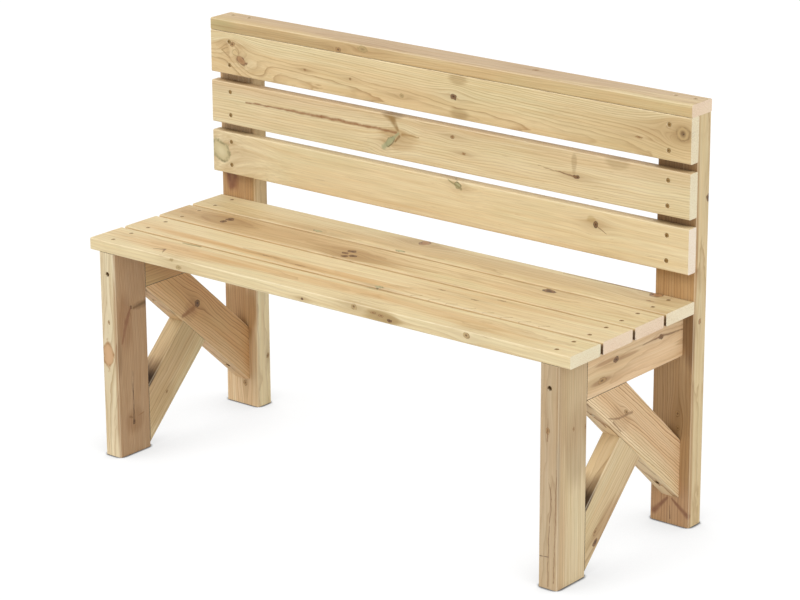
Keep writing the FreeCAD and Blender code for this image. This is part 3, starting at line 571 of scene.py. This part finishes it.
def pine(name, board, seed):
    """Planed softwood, pressure treated: pale sapwood, honey latewood lines, a green cast and knots."""
    material = bpy.data.materials.new(f"treated_pine_{name}")
    material.use_nodes = True
    tree = material.node_tree
    tree.nodes.clear()
    low, high = (Vector(corner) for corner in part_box(name))
    thickness = board.grain.cross(board.width)
    turn = Matrix((board.grain, board.width, thickness)).transposed()
    here = add(tree, "ShaderNodeTexCoord").outputs
    place = add(tree, "ShaderNodeMapping", {
        "Vector": here["Object"], "Location": (low + high) / 2, "Rotation": turn.to_euler(),
        "Scale": (MM, MM, MM)}, vector_type="TEXTURE")
    grain, nearest, shade, wood, bark, core = knotted(tree, board, place)

    # clear wood: heartwood ends at about the same distance from the pith, in tongues along the grain
    from_pith = add(tree, "ShaderNodeVectorMath", {0: grain, 1: (0, *board.pith)}, operation="SUBTRACT")
    spoke = add(tree, "ShaderNodeVectorMath", {0: from_pith, 1: (0, 1, 1)}, operation="MULTIPLY")
    radius = add(tree, "ShaderNodeVectorMath", {0: spoke}, operation="LENGTH")
    tint = fibres(tree, grain, TINT_LENGTH, TINT_WIDTH, seed + TINT_SEED)
    bundle = fibres(tree, grain, BUNDLE_LENGTH, BUNDLE_WIDTH, seed + BUNDLE_SEED)
    fibre = fibres(tree, grain, FIBRE_LENGTH, FIBRE_WIDTH, seed + FIBRE_SEED)
    edge = add(tree, "ShaderNodeMath", {
        0: tint, 1: -MARK_SPREAD * HEART_EDGE, 2: radius}, operation="MULTIPLY_ADD")
    border = board.heartwood - MARK_SPREAD / 2 * HEART_EDGE
    heart = add(tree, "ShaderNodeMapRange", {
        "Value": edge, "From Min": border - HEART_EDGE, "From Max": border + HEART_EDGE, "To Min": 1.0,
        "To Max": 0.0}, interpolation_type=SMOOTH)
    colour = add(tree, "ShaderNodeMix", {
        "Factor": heart, "A": linear(board.sap), "B": linear(board.heart)}, data_type="RGBA")
    soaked = fibres(tree, place, STAIN_LENGTH, STAIN_WIDTH, seed + STAIN_SEED)
    stain = add(tree, "ShaderNodeMapRange", {
        "Value": soaked, "From Min": 0.48, "From Max": 0.75, "To Max": 0.35})
    colour = add(tree, "ShaderNodeMix", {
        "Factor": stain, "A": colour, "B": linear(TREATMENT)}, data_type="RGBA")
    drift = add(tree, "ShaderNodeMath", {0: bundle, 1: 1.0, 2: tint}, operation="MULTIPLY_ADD")
    for patch in board.patches:
        laid = add(tree, "ShaderNodeGroup", node_tree=PATCH_GROUP, inputs={
            "Place": place, "Middle": patch.middle, "Reach": patch.reach, "Drift": drift,
            "Strength": patch.strength})
        colour = add(tree, "ShaderNodeMix", {
            "Factor": laid, "A": colour, "B": linear(patch.tone)}, data_type="RGBA")

    # rings, bundles of fibres and resin canals
    late = latewood(tree, board, radius, grain, seed)
    clarity = add(tree, "ShaderNodeMapRange", {
        "Value": tint, "From Min": 0.3, "From Max": 0.7, "To Min": board.lines,
        "To Max": 0.7 * board.lines})
    split = add(tree, "ShaderNodeMapRange", {
        "Value": fibre, "From Min": 0.3, "From Max": 0.6, "To Min": 0.7})
    plain = add(tree, "ShaderNodeMath", {0: late, 1: clarity}, operation="MULTIPLY")
    lines = add(tree, "ShaderNodeMath", {0: plain, 1: split}, operation="MULTIPLY")
    colour = add(tree, "ShaderNodeMix", {
        "Factor": lines, "A": colour, "B": linear(LATEWOOD)}, data_type="RGBA", blend_type="MULTIPLY")
    colour = varied(tree, colour, bundle, LEAST_MARK, MOST_MARK, BUNDLE_SHADES)
    colour = varied(tree, colour, fibre, LEAST_MARK, MOST_MARK, FIBRE_SHADES)
    canals = fibres(tree, grain, CANAL_LENGTH, CANAL_WIDTH, seed + CANAL_SEED)
    resin = add(tree, "ShaderNodeMapRange", {
        "Value": canals, "From Min": 0.64, "From Max": 0.76, "To Max": 0.42})
    colour = add(tree, "ShaderNodeMix", {
        "Factor": resin, "A": colour, "B": linear(CANAL)}, data_type="RGBA")

    # knots: a brown shade in the grain, then their wood, a broken ring of bark and a core
    patchy = fibres(tree, place, PATCHY_SIZE, PATCHY_SIZE, seed + PATCHY_SEED)
    if board.knots:
        streaky = add(tree, "ShaderNodeMapRange", {
            "Value": bundle, "From Min": 0.3, "From Max": 0.65, "To Min": 0.55, "To Max": 0.15})
        tail = add(tree, "ShaderNodeMath", {0: shade, 1: streaky}, operation="MULTIPLY")
        body = add(tree, "ShaderNodeMapRange", {
            "Value": nearest, "From Min": 0.8, "From Max": 1.15, "To Min": 0.9, "To Max": 0.0},
            interpolation_type=SMOOTH)
        rise = add(tree, "ShaderNodeMapRange", {
            "Value": nearest, "From Min": 0.65, "From Max": 0.95}, interpolation_type=SMOOTH)
        fall = add(tree, "ShaderNodeMapRange", {
            "Value": nearest, "From Min": 0.95, "From Max": 1.2, "To Min": 0.95, "To Max": 0.0},
            interpolation_type=SMOOTH)
        broken = add(tree, "ShaderNodeMapRange", {
            "Value": patchy, "From Min": 0.35, "From Max": 0.6, "To Min": 0.2})
        rim = add(tree, "ShaderNodeMath", {0: rise, 1: fall}, operation="MULTIPLY")
        barked = add(tree, "ShaderNodeMath", {0: rim, 1: broken}, operation="MULTIPLY")
        middle = add(tree, "ShaderNodeMapRange", {
            "Value": nearest, "From Min": 0.15, "From Max": 0.7, "To Min": 0.95, "To Max": 0.0},
            interpolation_type=SMOOTH)
        for tone, mark in ((linear(KNOT_SHADE), tail), (wood, body), (bark, barked), (core, middle)):
            colour = add(tree, "ShaderNodeMix", {"Factor": mark, "A": colour, "B": tone}, data_type="RGBA")
    colour = marked(tree, board, colour, place, patchy)

    # sawn ends are paler and speckled, and arrises get a painted highlight that is partly rubbed wear
    facing = []
    for way in (board.grain, board.width, thickness):
        turned = add(tree, "ShaderNodeVectorMath", {0: here["Normal"], 1: way}, operation="DOT_PRODUCT")
        facing.append(add(tree, "ShaderNodeMath", {0: turned}, operation="ABSOLUTE"))
    speckle = fibres(tree, place, SAW_MARK, SAW_MARK, seed + SAW_SEED)
    pores = add(tree, "ShaderNodeMapRange", {
        "Value": speckle, "From Min": 0.38, "From Max": 0.64, "To Min": 1.0, "To Max": 0.45})
    sawn = add(tree, "ShaderNodeMath", {0: facing[0], 1: END_TURN}, operation="GREATER_THAN")
    paled = add(tree, "ShaderNodeMath", {0: sawn, 1: pores}, operation="MULTIPLY")
    colour = add(tree, "ShaderNodeMix", {
        "Factor": paled, "A": colour, "B": linear(board.ends)}, data_type="RGBA")
    squarest = facing[0]
    for square in facing[1:]:
        squarest = add(tree, "ShaderNodeMath", {0: squarest, 1: square}, operation="MAXIMUM")
    arris = add(tree, "ShaderNodeMapRange", {
        "Value": squarest, "From Min": 0.75, "From Max": 0.98, "To Min": 0.35, "To Max": 0.0})
    colour = add(tree, "ShaderNodeMix", {
        "Factor": arris, "A": colour, "B": linear(ARRIS_HIGHLIGHT_AND_WEAR)}, data_type="RGBA")

    # painted shade darkens the joints and nooks, and in the joints stands also for dirt
    for reach, shut, clear, tone in PAINTED_SHADE_AND_DIRT:
        open_air = add(tree, "ShaderNodeAmbientOcclusion", {"Distance": reach}, samples=8)
        shade_and_dirt = tuple(1 - board.grime * (1 - share) for share in tone)
        colour = varied(tree, colour, open_air.outputs["AO"], shut, clear, (shade_and_dirt, (1, 1, 1)))

    height = add(tree, "ShaderNodeMath", {0: bundle, 1: 0.7, 2: fibre}, operation="MULTIPLY_ADD")
    raised = add(tree, "ShaderNodeMath", {0: late, 1: 0.5, 2: height}, operation="MULTIPLY_ADD")
    bump = add(tree, "ShaderNodeBump", {"Strength": 0.35, "Distance": GRAIN_RELIEF, "Height": raised})
    rough = add(tree, "ShaderNodeMapRange", {"Value": bundle, "To Min": 0.52, "To Max": 0.70})
    shader = add(tree, "ShaderNodeBsdfPrincipled", {
        "Base Color": colour, "Roughness": rough, "Normal": bump, "IOR": 1.53})
    add(tree, "ShaderNodeOutputMaterial", {"Surface": shader})
    return material


for seed, (name, board) in enumerate(BOARDS.items()):
    wood = pine(name, board, seed)
    for material_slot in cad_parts[name].material_slots:
        material_slot.material = wood


# Screws

BLOTCH = 2.5 * MM


def zinc():
    """Yellow-passivated zinc on steel, dulled by handling: brownish grey with soft blotches, half matt."""
    material = bpy.data.materials.new("zinc_plated_steel")
    material.use_nodes = True
    tree = material.node_tree
    tree.nodes.clear()
    here = add(tree, "ShaderNodeTexCoord")
    blotch = add(tree, "ShaderNodeTexNoise", {
        "Vector": here.outputs["Object"], "Scale": 1 / BLOTCH, "Detail": 3.0})
    colour = add(tree, "ShaderNodeMix", {
        "Factor": blotch, "A": linear("#8A7048"), "B": linear("#BC9E6C")}, data_type="RGBA")
    rough = add(tree, "ShaderNodeMapRange", {"Value": blotch, "To Min": 0.38, "To Max": 0.60})
    shader = add(tree, "ShaderNodeBsdfPrincipled", {
        "Base Color": colour, "Metallic": 1.0, "Roughness": rough})
    add(tree, "ShaderNodeOutputMaterial", {"Surface": shader})
    return material


SCREW_SIDES = 36
SCREW_LOBES = 6
SLAT_HEAD, SLAT_SHANK, SLAT_LENGTH = 4.5 * MM, 2.5 * MM, 60 * MM
FRAME_HEAD, FRAME_SHANK = 5.0 * MM, 3.0 * MM
FRAME_HEAD_HEIGHT = 4 * MM
HEAD_RIM = 0.4 * MM
HEAD_SINK = 0.3 * MM
HEAD_EASE = 0.25 * MM
DRIVE_SHARE = 0.40
LOBE_SHARE = 0.16
DRIVE_DEPTH = 1.8 * MM
DRIVE_TAPER = 0.9
# the drives point different ways, as a driver leaves them
DRIVE_TURN = math.radians(47)
SMOOTH_BELOW = math.radians(35)
TIP_LENGTH = 6 * MM
TIP_SHARE = 0.2
HEAD_STEP = 0.01 * MM


def lengthen(drop, share=1.0):
    """Extrudes the selected face down by the drop and scales its new ring."""
    bpy.ops.mesh.extrude_region_move(TRANSFORM_OT_translate={"value": (0, 0, -drop)})
    bpy.ops.transform.resize(value=(share, share, 1))


def screw_pattern(name, head, length, steps):
    """A screw along -Z with its head's top at zero, turned in steps of drop and radius below the rim."""
    bpy.ops.object.select_all(action="DESELECT")
    bpy.ops.mesh.primitive_circle_add(vertices=SCREW_SIDES, radius=head, fill_type="NGON")
    screw = bpy.context.object
    screw.name = name
    bpy.ops.object.mode_set(mode="EDIT")
    bpy.ops.mesh.select_all(action="SELECT")
    radius = head
    for drop, next_radius in steps:
        lengthen(drop, next_radius / radius)
        radius = next_radius
    lengthen(length - sum(drop for drop, _ in steps) - TIP_LENGTH)
    lengthen(TIP_LENGTH, TIP_SHARE)
    bpy.ops.object.mode_set(mode="OBJECT")
    return screw


def cut_drive(screw, head):
    """Eases the rim of the head and sinks a lobed drive into it."""
    bpy.ops.object.mode_set(mode="EDIT")
    bpy.ops.mesh.select_all(action="SELECT")
    bpy.ops.mesh.normals_make_consistent(inside=False)
    bpy.ops.mesh.select_all(action="DESELECT")
    bpy.ops.object.mode_set(mode="OBJECT")
    top = max(screw.data.polygons, key=lambda face: face.center.z - abs(face.normal.z - 1))
    top.select = True
    bpy.ops.object.mode_set(mode="EDIT")
    bpy.ops.mesh.inset(thickness=HEAD_EASE, depth=0)
    bpy.ops.mesh.inset(thickness=head * (1 - DRIVE_SHARE) - HEAD_EASE, depth=0)
    bpy.ops.object.mode_set(mode="OBJECT")
    drive = [polygon for polygon in screw.data.polygons if polygon.select][0]
    for index in drive.vertices:
        corner = screw.data.vertices[index].co
        lobe = 1 + LOBE_SHARE * math.cos(SCREW_LOBES * math.atan2(corner.y, corner.x))
        corner.x *= lobe
        corner.y *= lobe
    bpy.ops.object.mode_set(mode="EDIT")
    lengthen(DRIVE_DEPTH, DRIVE_TAPER)
    bpy.ops.object.mode_set(mode="OBJECT")
    bpy.ops.object.shade_smooth_by_angle(angle=SMOOTH_BELOW)


def slat_screw():
    """A screw with a flat head on a cone, for the slats and the cap rail."""
    cone = SLAT_HEAD - SLAT_SHANK
    screw = screw_pattern("slat_screw", SLAT_HEAD, SLAT_LENGTH,
                          [(HEAD_RIM, SLAT_HEAD), (cone, SLAT_SHANK)])
    cut_drive(screw, SLAT_HEAD)
    return screw


def frame_screw(length):
    """A screw with a cylinder head, for the end frames."""
    screw = screw_pattern("frame_screw", FRAME_HEAD, length,
                          [(FRAME_HEAD_HEIGHT, FRAME_HEAD), (HEAD_STEP, FRAME_SHANK)])
    cut_drive(screw, FRAME_HEAD)
    return screw


def drive_in(pattern, name, node, heads, way, steel):
    """Copies of a screw with their heads at the given places, joined to one piece for the CAD node."""
    turn = (-UP).rotation_difference(way).to_matrix().to_4x4()
    copies = []
    for number, head in enumerate(heads):
        copy = pattern.copy()
        copy.data = pattern.data.copy()
        spin = Matrix.Rotation(DRIVE_TURN * number, 4, "Z")
        copy.data.transform(Matrix.Translation(head) @ turn @ spin)
        bpy.context.scene.collection.objects.link(copy)
        copies.append(copy)
    bpy.ops.object.select_all(action="DESELECT")
    for copy in copies:
        copy.select_set(True)
    bpy.context.view_layer.objects.active = copies[0]
    bpy.ops.object.join()
    group = bpy.context.object
    group.name = name
    group.data.materials.append(steel)
    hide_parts(node)
    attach(group, "root")


def ends_of(node, inset):
    """How far along the bench a board's screws sit at its two ends."""
    low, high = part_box(node)
    return (low[0] + inset, high[0] - inset)


SEAT_END, SEAT_EDGE = 45 * MM, 21 * MM
BACK_END, BACK_EDGE = 50 * MM, 20 * MM
CAP_SPREAD = 44 * MM

steel = zinc()
pattern = slat_screw()
heads = []
for number in range(1, 5):
    low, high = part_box(f"seat_slat_{number}")
    for x in ends_of(f"seat_slat_{number}", SEAT_END):
        for y in (low[1] + SEAT_EDGE, high[1] - SEAT_EDGE):
            heads.append(Vector((x, y, high[2] - HEAD_SINK)))
drive_in(pattern, "seat_slat_screws", "seat_screws", heads, -UP, steel)
heads = []
for level in ("bottom", "middle", "top"):
    low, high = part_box(f"back_slat_{level}")
    for x in ends_of(f"back_slat_{level}", BACK_END):
        for z in (low[2] + BACK_EDGE, high[2] - BACK_EDGE):
            heads.append(Vector((x, low[1] + HEAD_SINK, z)))
drive_in(pattern, "back_slat_screws", "back_screws", heads, BACK, steel)
heads = []
cap_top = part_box("cap_rail")[1][2]
for side in ("left", "right"):
    low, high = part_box(f"rear_post_{side}")
    for way in (-1, 1):
        heads.append(Vector(((low[0] + high[0] + way * CAP_SPREAD) / 2, (low[1] + high[1]) / 2,
                             cap_top - HEAD_SINK)))
drive_in(pattern, "cap_rail_screws", "cap_screws", heads, -UP, steel)
bpy.data.objects.remove(pattern)

# frame screws: the way each is driven
FRAME_SCREWS = {
    "leg_screws": BACK,
    "post_screws": -BACK,
    "long_brace_upper_screws": UP,
    "long_brace_lower_screws": BACK,
    "short_brace_upper_screws": UP,
    "short_brace_lower_screws": -BACK,
}
for node, way in FRAME_SCREWS.items():
    low, high = (Vector(corner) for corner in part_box(node))
    length = abs((high - low).dot(way))
    middle = (low + high) / 2
    head = middle - way * length / 2
    outer = (high.x - low.x) / 2 - FRAME_HEAD
    pattern = frame_screw(length)
    drive_in(pattern, f"driven_{node}", node, [head - outer * ALONG, head + outer * ALONG], way, steel)
    bpy.data.objects.remove(pattern)


# Studio: pale paper underfoot, a sky that is brightest overhead and three wide soft lights, from the front
# left, from the right and, weaker, from behind

# how much of the paper's own shade the camera sees, the rest being its white
SHADOW_SHARE = 0.11
PAPER_WHITE = 1.07
# painted shadow on the paper: how far off the wood darkens its white, between which shares of open air,
# and how much of its white stays
FLOOR_PAINTED_SHADOWS = ((14 * MM, 0.58, 0.86, 0.05), (260 * MM, 0.50, 0.95, 0.80))
HORIZON_LIGHT, ZENITH_LIGHT = 0.16, 0.60


def seen_directly(tree):
    """One for what the camera, gloss and glass see, and zero for the light that comes back."""
    rays = add(tree, "ShaderNodeLightPath").outputs
    gloss = add(tree, "ShaderNodeMath", {
        0: rays["Is Camera Ray"], 1: rays["Is Glossy Ray"]}, operation="ADD")
    return add(tree, "ShaderNodeMath", {0: gloss, 1: rays["Is Transmission Ray"]}, operation="ADD")


def backdrop_paper():
    """Matt white paper, white to the camera, with some real shadow and a painted one, darkest at the feet.
    """
    material = bpy.data.materials.new("backdrop_paper")
    material.use_nodes = True
    tree = material.node_tree
    tree.nodes.clear()
    seen = seen_directly(tree)
    tone = add(tree, "ShaderNodeMix", {
        "Factor": seen, "A": linear("#EBEBE9"), "B": linear("#F9F9F8")}, data_type="RGBA")
    paper = add(tree, "ShaderNodeBsdfDiffuse", {"Color": tone})
    strength = PAPER_WHITE
    for reach, shut, clear, least in FLOOR_PAINTED_SHADOWS:
        open_air = add(tree, "ShaderNodeAmbientOcclusion", {"Distance": reach})
        left = add(tree, "ShaderNodeMapRange", {
            "Value": open_air.outputs["AO"], "From Min": shut, "From Max": clear, "To Min": least},
            interpolation_type=SMOOTH)
        strength = add(tree, "ShaderNodeMath", {0: left, 1: strength}, operation="MULTIPLY")
    white = add(tree, "ShaderNodeEmission", {"Strength": strength})
    share = add(tree, "ShaderNodeMath", {0: seen, 1: 1 - SHADOW_SHARE}, operation="MULTIPLY")
    both = add(tree, "ShaderNodeMixShader", {"Fac": share, 1: paper, 2: white})
    add(tree, "ShaderNodeOutputMaterial", {"Surface": both})
    return material


FLOOR_SIZE = 60.0
bpy.ops.object.select_all(action="DESELECT")
bpy.ops.mesh.primitive_plane_add(size=FLOOR_SIZE, location=(0, 0, 0))
floor = bpy.context.object
floor.name = "studio_floor"
floor.data.materials.append(backdrop_paper())

world = bpy.data.worlds.new("studio_sky")
world.use_nodes = True
bpy.context.scene.world = world
sky = world.node_tree
sky.nodes.clear()
way = add(sky, "ShaderNodeSeparateXYZ", {0: add(sky, "ShaderNodeTexCoord").outputs["Generated"]})
overhead = add(sky, "ShaderNodeMapRange", {
    "Value": way.outputs["Z"], "To Min": HORIZON_LIGHT, "To Max": ZENITH_LIGHT})
strength = add(sky, "ShaderNodeMix", {"Factor": seen_directly(sky), "A": overhead, "B": 1.0})
background = add(sky, "ShaderNodeBackground", {"Color": (1, 1, 1, 1), "Strength": strength})
add(sky, "ShaderNodeOutputWorld", {"Surface": background})

# where each light comes from, how wide it is in degrees and how strong
LIGHTS = {"key_light": ((-0.40, -0.61, 0.68), 30, 1.28), "fill_light": ((0.80, -0.38, 0.46), 80, 1.58),
          "back_light": ((-0.10, 0.97, 0.20), 60, 0.50)}
for name, (source, spread, strength) in LIGHTS.items():
    light = bpy.data.lights.new(name, "SUN")
    light.angle = math.radians(spread)
    light.energy = strength
    lamp = bpy.data.objects.new(name, light)
    lamp.rotation_euler = Vector(source).to_track_quat("Z", "Y").to_euler()
    bpy.context.scene.collection.objects.link(lamp)


# Camera at the photograph's angle

IMAGE_WIDTH = 800
FOCAL_PIXELS = 3018.7
SENSOR = 36
CAMERA_PLACE = Vector((3.5701, -4.4121, 2.2596))
AZIMUTH, ELEVATION, ROLL = (math.radians(angle) for angle in (38.751, 18.195, -0.2845))

backwards = Vector((math.sin(AZIMUTH) * math.cos(ELEVATION), -math.cos(AZIMUTH) * math.cos(ELEVATION),
                    math.sin(ELEVATION)))
level_right = UP.cross(backwards).normalized()
level_up = backwards.cross(level_right)
right = math.cos(ROLL) * level_right + math.sin(ROLL) * level_up
upward = backwards.cross(right)
camera_data = bpy.data.cameras.new("camera")
camera_data.sensor_width = SENSOR
camera_data.lens = FOCAL_PIXELS * SENSOR / IMAGE_WIDTH
camera = bpy.data.objects.new("camera", camera_data)
axes = Matrix((right, upward, backwards)).transposed().to_4x4()
camera.matrix_world = Matrix.Translation(CAMERA_PLACE) @ axes
bpy.context.scene.collection.objects.link(camera)
bpy.context.scene.camera = camera
bpy.context.scene.view_settings.view_transform = "Standard"
